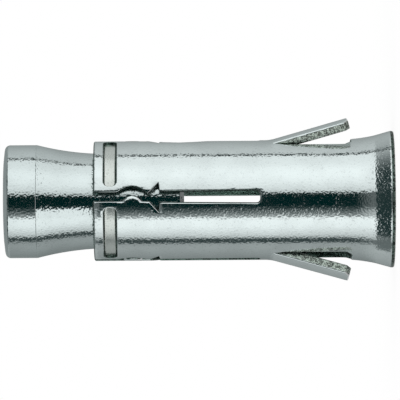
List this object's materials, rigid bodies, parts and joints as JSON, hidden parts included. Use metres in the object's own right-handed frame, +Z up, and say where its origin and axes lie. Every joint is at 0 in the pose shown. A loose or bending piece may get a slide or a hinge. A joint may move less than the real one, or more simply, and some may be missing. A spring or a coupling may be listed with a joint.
{
  "type": "ceiling anchor",
  "caption": "Hollow-ceiling anchor: a threaded cone nut gripped in a slit, rolled sheet-steel expansion sleeve with two lanced wings and a flared mouth.",
  "frame": {"origin": "centre of the flared mouth, on the plane that the anchor stands on", "axes": "+Z up the bore towards the cone, -Y towards the front slit, +X and -X towards the two wings"},
  "size_m": [0.0218, 0.0181, 0.052],
  "materials": {
    "sleeve_zinc": "bright zinc-plated rolled sheet steel",
    "nut_zinc": "bright zinc-plated turned steel"
  },
  "bodies": {
    "sleeve": {"expansion_sleeve": "sleeve_zinc"},
    "nut": {"cone_nut": "nut_zinc"}
  },
  "joints": [
    {"name": "cone_draw_in", "type": "slide", "parent": "sleeve", "child": "nut", "axis": [0, 0, -1], "range_m": [0, 0.0016]}
  ]
}
